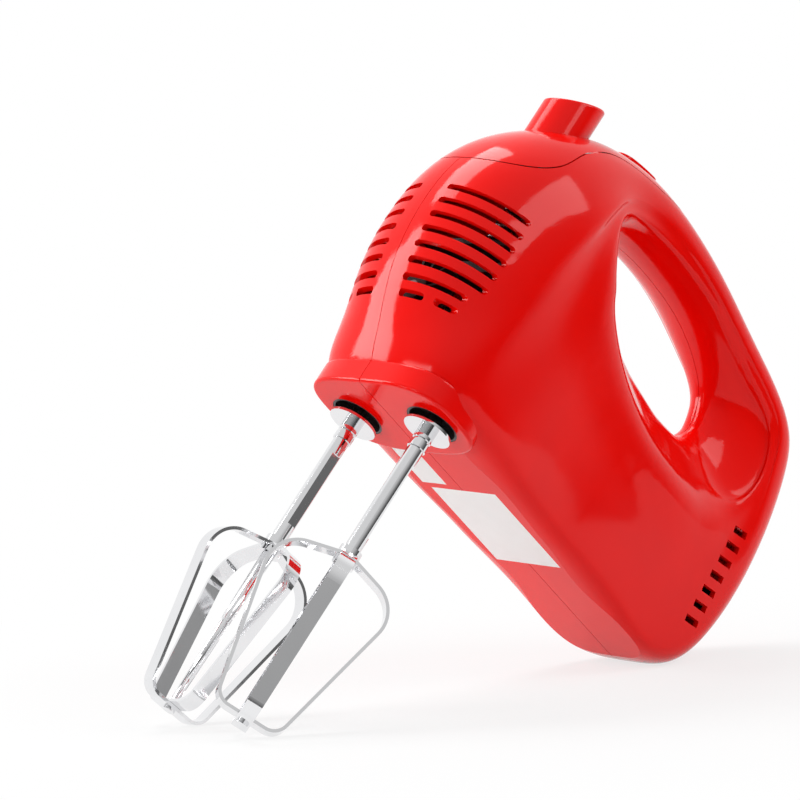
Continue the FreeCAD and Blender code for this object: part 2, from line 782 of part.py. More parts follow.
def worm():
    """Two-start right-hand worm on the motor shaft."""
    length = dim("worm_length")
    root, tip = tooth_flanks(WORM_PITCH_RADIUS)
    foot = root[1] - 0.3  # the ridge's flanks run on a little into the core
    foot_half = root[0] + 0.3 * FLANK
    ridge = [Vector(foot, 0, -foot_half), Vector(tip[1], 0, -tip[0]), Vector(tip[1], 0, tip[0]),
             Vector(foot, 0, foot_half)]
    helix = Part.makeHelix(WORM_LEAD, length + 2 * WORM_LEAD, root[1])
    thread = Part.Wire(helix).makePipeShell([Part.makePolygon(ridge + ridge[:1])], True, True)
    thread.translate(Vector(0, 0, length / 2 - 2 * WORM_LEAD))
    starts = int(dim("worm_starts"))
    threads = []
    for start in range(starts):
        threads.append(thread.copy())
        threads[-1].rotate(Vector(0, 0, 0), Vector(0, 0, 1), 360 * start / starts)
    spare = 20.0  # length by which the core is too long until both ends are trimmed
    core = Part.makeCylinder(root[1], length + 2 * spare, Vector(0, 0, -spare)).fuse(threads)
    core = core.common(block(-spare, spare, -spare, spare, 0, length))
    core = core.cut(Part.makeCylinder(dim("motor_shaft_radius"), length))
    core.Placement = Placement(Vector(-length / 2, 0, dim("worm_z")), ALONG_X)
    return core


def spindle(side):
    corners = [("bore_radius", "spindle_bottom"), ("spindle_radius", "spindle_bottom"),
               ("spindle_radius", "spindle_top"), ("bore_radius", "spindle_top")]
    return revolved(f"spindle_{side}", corners, at=(0, SIDES[side] * dim("spindle_gap") / 2, 0))


def spindle_bush(side):
    """Bush pressed into the gear frame, with its flange on top."""
    inner = "spindle_radius + 0.05"
    corners = [(inner, "frame_low"), ("bush_radius", "frame_low"), ("bush_radius", "frame_high"),
               ("bush_radius + 1.5", "frame_high"), ("bush_radius + 1.5", "frame_high + 2"),
               (inner, "frame_high + 2")]
    return revolved(f"spindle_bush_{side}", corners, at=(0, SIDES[side] * dim("spindle_gap") / 2, 0))


def gear_frame():
    """The plate that carries both spindles, with two uprights for the motor shaft's bearings."""
    plate = primitive("Box", "frame_plate", ("frame_rear", "-frame_width / 2", "frame_low"),
                      Length="frame_front - frame_rear", Width="frame_width", Height="frame_high - frame_low")
    uprights = [
        primitive("Box", f"frame_upright_{k}", (x, "-upright_width / 2", "frame_low"),
                  Length="upright_thick", Width="upright_width", Height="worm_z + 8 - frame_low")
        for k, x in enumerate(("upright_inner", "-upright_inner - upright_thick"))
    ]
    solid = fuse("frame_blank", plate, *uprights)
    holes = [primitive("Cylinder", f"frame_hole_{side}", (0, f"{sign} * spindle_gap / 2", "frame_low - 1"),
                       Radius="bush_radius", Height="frame_high - frame_low + 2")
             for side, sign in SIDES.items()]
    holes.append(primitive("Cylinder", "frame_shaft_hole", ("frame_rear - 5", 0, "worm_z"), ALONG_X,
                           Radius="bearing_radius", Height="60"))
    return node("gear_frame", cut("gear_frame", solid, *holes))


def shaft_bearing(label, start, length="upright_thick"):
    """Sintered bearing for the motor shaft, starting at x = start."""
    corners = [("motor_shaft_radius + 0.03", "0"), ("bearing_radius", "0"), ("bearing_radius", length),
               ("motor_shaft_radius + 0.03", length)]
    return revolved(label, corners, at=(number(start), 0, dim("worm_z")), turn=ALONG_X)


gear_frame()
for side in SIDES:
    spindle_bush(side)
    spindle(side)
    coded(f"worm_wheel_{side}", worm_wheel(side))
coded("worm", worm())
shaft_bearing("worm_front_bearing", "upright_inner")
shaft_bearing("worm_rear_bearing", "-upright_inner - upright_thick")

# ---------------------------------------------------------------------------
# Motor
# ---------------------------------------------------------------------------


def turned_on_shaft(label, corners, start):
    """A piece turned about the motor shaft; heights run forwards from x = start."""
    return revolved(label, corners, at=(number(start), 0, dim("worm_z")), turn=ALONG_X)


def tube(inner, outer, length):
    return [(inner, "0"), (outer, "0"), (outer, length), (inner, length)]


def fan():
    """Radial fan: a back disc, a hub and slanted blades."""
    depth, radius, count = dim("fan_depth"), dim("fan_radius"), int(dim("blade_count"))
    wheel = Part.makeCylinder(dim("fan_hub"), depth).fuse(Part.makeCylinder(radius, 1.0))
    foot = dim("fan_hub") - 1
    for k in range(count):
        blade = block(foot, radius - 0.4, -0.5, 0.5, 0.5, depth)
        blade.rotate(Vector(foot, 0, 0), Vector(0, 0, 1), 18)
        blade.rotate(Vector(0, 0, 0), Vector(0, 0, 1), 360 * k / count)
        wheel = wheel.fuse(blade.common(Part.makeCylinder(radius, depth)))
    wheel = wheel.cut(Part.makeCylinder(dim("motor_shaft_radius"), depth))
    wheel.Placement = Placement(Vector(dim("fan_front") - depth, 0, dim("worm_z")), ALONG_X)
    return wheel


def slot_bars(outer, start, end):
    """Bars that fill the armature's slots out to a radius, between two heights along its axis."""
    half, count = dim("slot_width") / 2, int(dim("armature_slots"))
    bars = [block(dim("slot_floor"), outer, -half, half, start, end) for _ in range(count)]
    for k, bar in enumerate(bars):
        bar.rotate(Vector(0, 0, 0), Vector(0, 0, 1), 360 * k / count)
    return bars


def on_armature(shape):
    """shape, drawn along +Z from the core's rear end, set on the motor shaft."""
    rear = dim("stator_front") - dim("stator_length")
    shape.Placement = Placement(Vector(rear, 0, dim("worm_z")), ALONG_X)
    return shape


def armature_core():
    """Laminated core with the slots that take the windings."""
    length, radius = dim("stator_length"), dim("armature_radius")
    core = Part.makeCylinder(radius, length)
    core = core.cut([Part.makeCylinder(dim("motor_shaft_radius"), length)] + slot_bars(radius + 1, 0, length))
    return on_armature(core)


def armature_windings():
    """Copper in the slots and the two rounded bundles where it crosses the ends."""
    length, over, radius = dim("stator_length"), dim("winding_over"), dim("winding_radius")
    clear = Part.makeCylinder(dim("motor_shaft_radius") + 0.6, length + 2 * over, Vector(0, 0, -over))
    wires = None
    for low, end_height in ((-over, -over), (length, length + over)):
        end = Part.makeCylinder(radius, over, Vector(0, 0, low)).cut(clear)
        rims = [e for e in end.Edges if abs(e.BoundBox.ZMax - end_height) < 0.01
                and abs(e.BoundBox.ZMin - end_height) < 0.01 and e.BoundBox.XMax > radius - 1]
        end = end.makeFillet(dim("winding_rounding"), rims)
        wires = wires.fuse(end) if wires else end
    for bar in slot_bars(radius - 0.2, -0.2, length + 0.2):
        wires = wires.fuse(bar)
    return on_armature(wires)


def stator_core():
    """Laminated block with the armature's bore and four windows for the two coils."""
    half_y, half_z, bevel = "stator_width / 2", "stator_depth / 2", "stator_bevel"

    def outline(sketch):
        polygon(sketch, [
            (f"-{half_y}", f"-{half_z} + {bevel}"), (f"-{half_y} + {bevel}", f"-{half_z}"),
            (f"{half_y} - {bevel}", f"-{half_z}"), (half_y, f"-{half_z} + {bevel}"),
            (half_y, f"{half_z} - {bevel}"), (f"{half_y} - {bevel}", half_z),
            (f"-{half_y} + {bevel}", half_z), (f"-{half_y}", f"{half_z} - {bevel}"),
        ])
        circle(sketch, "stator_bore")

    body = padded("stator_core", outline, "stator_length")
    # The piece's own X points down and its own Y lies across the mixer.
    windows = sketch_on(body, "XY_Plane", "coil_windows")
    for across in (1, -1):
        for down in (1, -1):
            window(windows, across, down)
    doc.recompute()
    pocket = body.newObject("PartDesign::Pocket", "coil_window_pocket")
    pocket.Profile = windows
    pocket.Type = 1
    pocket.Midplane = True
    body.Placement = Placement(Vector(dim("stator_front") - dim("stator_length"), 0, dim("worm_z")), ALONG_X)
    return body


def window(sketch, across, down):
    """The opening for one bar of a coil, 0.2 mm clear of it all round."""
    x0, x1 = f"{down} * (coil_low - 0.2)", f"{down} * (coil_high + 0.2)"
    y0, y1 = f"{across} * (coil_inner - 0.2)", f"{across} * (coil_outer + 0.2)"
    polygon(sketch, [(x0, y0), (x1, y0), (x1, y1), (x0, y1)])


def field_coil(sign):
    """Saddle-shaped coil round one pole: two bars through the core and an arch over each end."""
    inner, outer, low, high = (dim(k) for k in ("coil_inner", "coil_outer", "coil_low", "coil_high"))
    front, rear = dim("stator_front"), dim("stator_front") - dim("stator_length")
    over, clearance = dim("coil_over"), 0.2
    coil = block(rear - over, front + over, inner, outer, low, high)
    coil = coil.fuse(block(rear - over, front + over, -outer, -inner, low, high))
    for x0, x1 in ((rear - over, rear - clearance), (front + clearance, front + over)):
        arch = block(x0, x1, -outer, outer, low, dim("coil_crown"))
        arch = arch.cut(block(x0 - 1, x1 + 1, -inner, inner, low - 1, dim("coil_arch")))
        coil = coil.fuse(arch)
    coil = coil.removeSplitter()
    if sign < 0:
        coil = coil.mirror(Vector(0, 0, 0), Vector(0, 0, 1))
    coil.translate(Vector(0, 0, dim("worm_z")))
    return coil


def brush(side):
    """A carbon brush and the square holder that guides it."""
    sign = SIDES[side]
    middle_x = dim("commutator_front") - dim("commutator_length") / 2
    half, z = dim("brush_half"), dim("worm_z")
    y0, y1 = dim("commutator_radius"), dim("commutator_radius") + dim("brush_length")
    carbon = block(middle_x - half, middle_x + half, y0, y1, z - half, z + half)
    carbon = carbon.cut(Part.makeCylinder(y0 + 0.05, 2 * dim("commutator_length"),
                                          Vector(middle_x - dim("commutator_length"), 0, z), Vector(1, 0, 0)))
    grow = half + 0.05
    shell = half + 1.4
    holder = block(middle_x - shell, middle_x + shell, y0 + 2.0, y1 + 3.4, z - shell, z + shell)
    holder = holder.cut(block(middle_x - grow, middle_x + grow, y0, y1 + 2.0, z - grow, z + grow))
    if sign < 0:
        carbon, holder = mirrored(carbon), mirrored(holder)
    coded(f"carbon_brush_{side}", carbon)
    coded(f"brush_holder_{side}", holder)


def motor_rear_bracket():
    """The plate behind the motor that holds its rear bearing and both brush holders."""
    plate = primitive("Box", "bracket_plate",
                      ("bracket_front - bracket_thick", "-bracket_width / 2", "worm_z - bracket_height / 2"),
                      Length="bracket_thick", Width="bracket_width", Height="bracket_height")
    arms = [primitive("Box", f"bracket_arm_{side}", ("bracket_front", y, "worm_z - arm_height / 2"),
                      Length="arm_front - bracket_front", Width="arm_thick", Height="arm_height")
            for side, y in (("left", "bracket_width / 2 - arm_thick"), ("right", "-bracket_width / 2"))]
    hole = primitive("Cylinder", "bracket_hole", ("bracket_front - 10", 0, "worm_z"), ALONG_X,
                     Radius="bearing_radius", Height="20")
    return node("motor_rear_bracket", cut("motor_rear_bracket", fuse("bracket_blank", plate, *arms), hole))


turned_on_shaft("motor_shaft", [("0", "0"), ("motor_shaft_radius", "0"),
                                ("motor_shaft_radius", "fan_front + 0.5 - shaft_rear"),
                                ("0", "fan_front + 0.5 - shaft_rear")], "shaft_rear")
turned_on_shaft("commutator", tube("motor_shaft_radius", "commutator_radius", "commutator_length"),
                "commutator_front - commutator_length")
coded("cooling_fan", fan())
coded("armature_core", armature_core())
coded("armature_windings", armature_windings())
stator_core()
coded("field_coil_upper", field_coil(1))
coded("field_coil_lower", field_coil(-1))
for side in SIDES:
    brush(side)
motor_rear_bracket()
shaft_bearing("motor_rear_bearing", "bracket_front - bracket_thick", "bracket_thick")

# ---------------------------------------------------------------------------
# Controls: speed knob, slider, switch and ejector
# ---------------------------------------------------------------------------


def speed_knob():
    """Round post with a slanted top, its upper rim rounded."""
    post = primitive("Cylinder", "knob_post", ("knob_x", 0, "knob_bottom"), Radius="knob_radius",
                     Height="knob_top - knob_bottom + 12")
    slope = Rotation(Vector(0, 1, 0), dim("knob_slope"))
    slice_off = primitive("Box", "knob_slice", ("knob_x", 0, "knob_top"), slope, Length="60", Width="60",
                          Height="40")
    middle = slope.multVec(Vector(-30, -30, 0))
    slice_off.setExpression("Placement.Base.x", f"Dimensions.knob_x + {middle.x}")
    slice_off.setExpression("Placement.Base.y", f"{middle.y}")
    slice_off.setExpression("Placement.Base.z", f"Dimensions.knob_top + {middle.z}")
    blank = cut("knob_blank", post, slice_off)
    doc.recompute()
    rim = max(range(len(blank.Shape.Edges)), key=lambda k: blank.Shape.Edges[k].CenterOfMass.z)
    eased = doc.addObject("Part::Fillet", "speed_knob")
    eased.Base = blank
    eased.Edges = [(rim + 1, dim("knob_rim"), dim("knob_rim"))]
    return node("speed_knob", eased)


def speed_slider():
    """Sloping plate that the knob's post passes through; it slides with the knob and works the switch."""
    slope = Rotation(Vector(0, 1, 0), dim("knob_slope"))
    centre = Vector(dim("knob_x"), 0, dim("slider_z"))
    half = dim("slider_width") / 2
    plate = block(-dim("slider_behind"), dim("slider_ahead"), -half, half, -1, 1)
    plate.Placement = Placement(centre, slope)
    height = dim("sleeve_height")
    low = centre - Vector(0, 0, height - 1)
    sleeve = Part.makeCylinder(dim("knob_radius") + dim("sleeve_wall"), height, low)
    hole = Part.makeCylinder(dim("knob_radius") + 0.08, 8 * height, centre - Vector(0, 0, 4 * height))
    return plate.fuse(sleeve).cut(hole)


def ejector():
    """Pad under the knob, a rod, and the bar whose two pins push the beaters out of the spindles."""
    rod_x, edge, gap = dim("rod_x"), dim("bar_edge"), dim("spindle_gap") / 2
    bar_low, bar_high = dim("bar_low"), dim("bar_low") + dim("bar_thick")
    pad_top = dim("knob_bottom") - 0.3
    pad = Part.makeCylinder(dim("pad_radius"), dim("pad_thick"),
                            Vector(dim("knob_x") - 1, 0, pad_top - dim("pad_thick")))
    rod = Part.makeCylinder(dim("rod_radius"), pad_top - 1 - bar_low, Vector(rod_x, 0, bar_low))
    bar = block(-edge, rod_x + edge, -gap - edge, gap + edge, bar_low, bar_high)
    pins = [Part.makeCylinder(dim("pin_radius"), bar_low + 1 - dim("pin_low"),
                              Vector(0, sign * gap, dim("pin_low"))) for sign in (1, -1)]
    return pad.fuse([rod, bar] + pins).removeSplitter()


def eject_guide():
    """Plate across the housing that guides the ejector's rod and carries its spring."""
    plate = primitive("Box", "guide_plate", ("guide_front - guide_length", "-guide_width / 2", "guide_z"),
                      Length="guide_length", Width="guide_width", Height="guide_thick")
    hole = primitive("Cylinder", "guide_hole", ("rod_x", 0, "guide_z - 1"), Radius="rod_radius + 0.05",
                     Height="guide_thick + 2")
    return node("eject_guide", cut("eject_guide", plate, hole))


def eject_spring():
    """The ejector's return spring, drawn at its pressed length."""
    wire, radius, turns = dim("spring_wire"), dim("spring_radius"), 8
    low = dim("guide_z") + dim("guide_thick") + wire
    pitch = (dim("spring_top") - low - wire) / turns
    helix = Part.makeHelix(pitch, pitch * turns, radius)
    ring = Part.Wire(Part.makeCircle(wire, Vector(radius, 0, 0), Vector(0, 1, 0)))
    spring = Part.Wire(helix).makePipeShell([ring], True, True)
    spring.translate(Vector(dim("rod_x"), 0, low))
    return spring


def speed_switch():
    """Stepped speed switch in the front of the handle, with four terminal blades."""
    case = primitive("Box", "switch_case",
                     ("switch_front - switch_length", "-switch_width / 2", "switch_low"),
                     Length="switch_length", Width="switch_width", Height="switch_height")
    blades = [primitive("Box", f"switch_blade_{k}",
                        ("switch_front - switch_length - blade_length + 0.5",
                         f"(2 * {k} - 3) * blade_width", "switch_low + 3"),
                        Length="blade_length", Width="blade_width", Height="blade_thick") for k in range(4)]
    return node("speed_switch", fuse("speed_switch", case, *blades))


def turbo_contact():
    """Spring leaf on the switch, under the turbo button."""
    return node("turbo_contact", primitive(
        "Box", "turbo_contact",
        ("switch_front - switch_length + 2", "-contact_width / 2", "switch_low + switch_height"),
        Length="switch_length - 2", Width="contact_width", Height="contact_thick"))


speed_knob()
coded("speed_slider", speed_slider())
coded("ejector", ejector())
eject_guide()
coded("eject_spring", eject_spring())
speed_switch()
turbo_contact()

# ---------------------------------------------------------------------------
# Beaters
# ---------------------------------------------------------------------------

# Angle of each beater's first wing from the nose, turned towards the left side.  The two angles add up
# to half the quarter turn between wings, so the wings pass through each other's gaps.
WING_ANGLES = {"left": 54.0, "right": -9.0}

# Corners of a wing's outer line, (radius, height above the tip), and the rounding at each.
WING = [(11.7, 0, 6.0), (24.16, 59.2, 12.0), (0.0, 66.2, 0.0)]


def rounded_path(corners):
    """Edges through the corners, each corner but the two ends replaced by an arc of its radius."""
    points = [Vector(a, 0, b) for a, b, radius in corners]
    edges, last = [], points[0]
    for k in range(1, len(points) - 1):
        back = (points[k - 1] - points[k]).normalize()
        ahead = (points[k + 1] - points[k]).normalize()
        half_turn = (math.pi - back.getAngle(ahead)) / 2
        reach = corners[k][2] * math.tan(half_turn)
        start, end = points[k] + back * reach, points[k] + ahead * reach
        inward = (back + ahead).normalize()
        middle = points[k] + inward * (corners[k][2] / math.cos(half_turn) - corners[k][2])
        edges.append(Part.LineSegment(last, start).toShape())
        edges.append(Part.Arc(start, middle, end).toShape())
        last = end
    edges.append(Part.LineSegment(last, points[-1]).toShape())
    return edges


def beater_strip(lift):
    """A closed strip about the axis, its crossing at the tip raised by lift."""
    thick, tip = dim("strip_thick"), dim("tip_z")
    right = [(0, lift, 0)] + [(r, max(z, lift), rounding) for r, z, rounding in WING]
    half = rounded_path(right)
    other = [e.mirror(Vector(0, 0, 0), Vector(1, 0, 0)) for e in half]
    outline = Part.Wire(Part.__sortEdges__(half + other))
    outer = Part.Face(outline)
    inner = outer.makeOffset2D(-thick)
    band = outer.cut(inner)
    band.translate(Vector(0, -dim("strip_width") / 2, tip))
    return band.extrude(Vector(0, dim("strip_width"), 0))


def beater_loop(side, angle, lift):
    """Two opposite wings of one strip, which crosses under the axis at the tip and ends at the hub."""
    strip, tip = beater_strip(lift), dim("tip_z")
    hub = Part.makeCylinder(dim("hub_radius"), 20, Vector(0, 0, dim("hub_low")))
    rivet = Part.makeCylinder(dim("rivet_radius"), 6, Vector(0, 0, tip - 1))
    strip = strip.cut([hub, rivet])
    strip.Placement = Placement(Vector(0, SIDES[side] * dim("spindle_gap") / 2, 0),
                                Rotation(Vector(0, 0, 1), angle)).multiply(strip.Placement)
    return strip


def beater_shaft(side):
    """Shank, splash disc, grooved neck, shaft and hub, with a flat ground along the shaft."""
    disc_low = "disc_z - disc_thick"
    neck_low = f"{disc_low} - neck_length"
    groove_low = f"{neck_low} + ring_low"
    groove_high = f"{groove_low} + ring_width"
    corners = [
        ("0", "hub_low"), ("hub_radius", "hub_low"), ("hub_radius", "hub_z"), ("shaft_radius", "hub_z"),
        ("shaft_radius", neck_low), ("neck_radius", neck_low), ("neck_radius", groove_low),
        ("neck_radius - ring_depth", groove_low), ("neck_radius - ring_depth", groove_high),
        ("neck_radius", groove_high), ("neck_radius", disc_low), ("disc_radius", disc_low),
        ("disc_radius", "disc_z"), ("shank_radius", "disc_z"), ("shank_radius", "shank_top - 1"),
        ("shank_radius - 0.8", "shank_top"), ("0", "shank_top"),
    ]
    name = f"beater_{side}_shaft"
    body = revolved(name, corners, at=(0, SIDES[side] * dim("spindle_gap") / 2, 0),
                    turn=Rotation(Vector(0, 0, 1), WING_ANGLES[side]))
    facet = sketch_on(body, "XY_Plane", name + "_flat", "hub_z + facet_end")
    near, far, aside = "shaft_radius - facet_depth", "shaft_radius + 2", "shaft_radius + 1"
    polygon(facet, [(f"-({aside})", near), (aside, near), (aside, far), (f"-({aside})", far)])
    doc.recompute()
    flat = body.newObject("PartDesign::Pocket", name + "_facet")
    flat.Profile = facet
    flat.Reversed = True
    flat.setExpression("Length", cells(f"{neck_low} - hub_z - 2 * facet_end"))
    return body


def beater_rivet(side):
    """Rivet that joins the two strips at the tip."""
    low, high = "tip_z", "tip_z + 2 * strip_thick + 0.05"
    corners = [
        ("0", f"{low} - rivet_thick"), ("rivet_head", f"{low} - rivet_thick"), ("rivet_head", low),
        ("rivet_radius", low), ("rivet_radius", high), ("rivet_head", high),
        ("rivet_head", f"{high} + rivet_thick"), ("0", f"{high} + rivet_thick"),
    ]
    return revolved(f"beater_{side}_rivet", corners, at=(0, SIDES[side] * dim("spindle_gap") / 2, 0))


for side in SIDES:
    beater_shaft(side)
    coded(f"beater_{side}_outer_loop", beater_loop(side, WING_ANGLES[side], 0.0))
    coded(f"beater_{side}_inner_loop", beater_loop(side, WING_ANGLES[side] + 90, dim("strip_thick") + 0.05))
    beater_rivet(side)

# ---------------------------------------------------------------------------
# Checks, resting place and files
# ---------------------------------------------------------------------------

doc.recompute()


def check():
    for obj in doc.Objects:
        if "Invalid" in obj.State or "Error" in obj.State:
            raise RuntimeError(f"{obj.Name} failed: {obj.State}")
    for label, obj in NODES.items():
        if obj.Shape.isNull() or not obj.Shape.isValid() or obj.Shape.Volume <= 0:
            raise RuntimeError(f"{label} has no valid shape")


FINE, COARSE = 0.1, 0.2  # how far a tessellation may stray from the surface


def lowest(points, turn):
    return min(turn.multVec(point).z for point in points)


def resting_turn():
    """The turn that puts both beaters and the housing's heel on one level."""
    groups = []
    for labels in (("beater_left_outer_loop", "beater_left_inner_loop"),
                   ("beater_right_outer_loop", "beater_right_inner_loop"),
                   ("housing_left", "housing_right")):
        points = []
        for label in labels:
            points += NODES[label].Shape.tessellate(FINE)[0]
        groups.append(points)
    left, right, heel = groups

    def turn(pitch, roll):
        return Rotation(Vector(0, 1, 0), -pitch).multiply(Rotation(Vector(1, 0, 0), roll))

    pitch, roll = 44.0, 0.0
    for _ in range(6):
        pitch = halved(lambda a: min(lowest(left, turn(a, roll)), lowest(right, turn(a, roll)))
                       - lowest(heel, turn(a, roll)), 40.0, 50.0)
        roll = halved(lambda a: lowest(left, turn(pitch, a)) - lowest(right, turn(pitch, a)), -5.0, 5.0)
    return turn(pitch, roll), pitch, roll


def halved(gap, low, high):
    """The place between low and high where gap changes sign."""
    sign = gap(low) > 0
    for _ in range(24):
        middle = (low + high) / 2
        if (gap(middle) > 0) == sign:
            low = middle
        else:
            high = middle
    return (low + high) / 2


def resting_place():
    """Placement whose origin is the middle of the resting mixer's box, at its lowest level."""
    turn, pitch, roll = resting_turn()
    points = []
    for obj in NODES.values():
        points += [turn.multVec(p) for p in obj.Shape.tessellate(COARSE)[0]]
    spans = [(min(p[k] for p in points), max(p[k] for p in points)) for k in range(3)]
    shift = Vector(-sum(spans[0]) / 2, -sum(spans[1]) / 2, -spans[2][0])
    print(f"resting pitch {pitch:.3f} degrees, roll {roll:.3f} degrees")
    print("resting box", [round(high - low, 1) for low, high in spans])
    return Placement(shift, turn)


check()
REST = resting_place()
for obj in NODES.values():
    obj.Placement = REST.multiply(obj.Placement)
doc.recompute()
check()

os.makedirs("parts", exist_ok=True)
for label, obj in NODES.items():
    obj.Shape.exportStep(f"parts/{label}.step")
print(len(NODES), "sub-parts written")
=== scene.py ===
import json
import math

import bmesh
import bpy
from mathutils import Matrix, Vector


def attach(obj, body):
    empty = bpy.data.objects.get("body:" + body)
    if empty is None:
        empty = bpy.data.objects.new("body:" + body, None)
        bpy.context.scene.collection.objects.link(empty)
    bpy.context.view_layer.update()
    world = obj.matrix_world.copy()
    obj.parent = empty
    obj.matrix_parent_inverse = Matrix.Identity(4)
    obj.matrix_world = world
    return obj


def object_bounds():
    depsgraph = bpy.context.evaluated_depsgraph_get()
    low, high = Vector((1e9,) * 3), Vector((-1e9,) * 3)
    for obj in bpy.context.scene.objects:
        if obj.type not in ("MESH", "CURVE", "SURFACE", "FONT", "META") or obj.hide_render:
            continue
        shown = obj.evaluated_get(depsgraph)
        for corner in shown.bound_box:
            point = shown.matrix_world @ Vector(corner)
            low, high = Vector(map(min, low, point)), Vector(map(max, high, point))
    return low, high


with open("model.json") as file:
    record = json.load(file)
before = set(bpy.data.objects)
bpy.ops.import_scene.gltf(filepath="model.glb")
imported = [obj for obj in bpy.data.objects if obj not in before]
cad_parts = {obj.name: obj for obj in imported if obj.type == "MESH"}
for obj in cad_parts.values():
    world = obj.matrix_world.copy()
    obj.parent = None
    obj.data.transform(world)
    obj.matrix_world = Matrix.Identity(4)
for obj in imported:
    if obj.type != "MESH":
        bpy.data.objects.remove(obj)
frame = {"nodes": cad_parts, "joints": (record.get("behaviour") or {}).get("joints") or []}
cad_low, cad_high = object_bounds()

# The mixer's own axes, read from its joints: +X to the nose along the motor shaft, +Z up the spindles,
# with the origin between the spindles on the level of the flat underside.
JOINTS = {joint["name"]: joint for joint in frame["joints"]}
SPINDLE_MARK = 0.030  # height of the spindle joints' points above the underside, in metres


def mixer_frame():
    """Matrix from the mixer's own axes to the row frame."""
    up = Vector(JOINTS["left_spindle_spin"]["axis"]).normalized()
    nose = Vector(JOINTS["motor_spin"]["axis"]).normalized()
    left = up.cross(nose).normalized()
    marks = [Vector(JOINTS[f"{side}_spindle_spin"]["pos_m"]) for side in ("left", "right")]
    origin = (marks[0] + marks[1]) / 2 - up * SPINDLE_MARK
    turn = Matrix((nose, left, up)).transposed().to_4x4()
    return Matrix.Translation(origin) @ turn


MIXER = mixer_frame()

# ---------------------------------------------------------------------------
# Camera
# ---------------------------------------------------------------------------

CAMERA_AT = Vector((0.7591, 1.0289, -0.5144))  # in the mixer's own axes, metres
CAMERA_AIM = Vector((0.0028, 0.0004, 0.0049))
CAMERA_UP = Vector((0.6128, -0.0773, 0.7865))
LENS = 189.4  # millimetres, on the sensor below
SENSOR = 36.0
CLIP_END = 50  # metres


def make_camera():
    """The camera at the photograph's viewing angle; returns its right and back directions."""
    data = bpy.data.cameras.new("camera")
    data.lens = LENS
    data.sensor_width = SENSOR
    data.clip_end = CLIP_END
    camera = bpy.data.objects.new("camera", data)
    bpy.context.scene.collection.objects.link(camera)
    back = (MIXER.to_3x3() @ (CAMERA_AT - CAMERA_AIM)).normalized()
    right = (MIXER.to_3x3() @ CAMERA_UP).cross(back).normalized()
    up = back.cross(right)
    turn = Matrix((right, up, back)).transposed().to_4x4()
    camera.matrix_world = Matrix.Translation(MIXER @ CAMERA_AT) @ turn
    bpy.context.scene.camera = camera
    return right, back


camera_right, camera_back = make_camera()

# ---------------------------------------------------------------------------
# Material helpers
# ---------------------------------------------------------------------------

MILLIMETRES = 1000.0
WAVE_STEEPNESS = 20  # a Wave texture of scale one turns through this many radians per unit of length
NOISE_LOW, NOISE_HIGH = 0.3, 0.7  # nearly all of a Noise texture lies between these


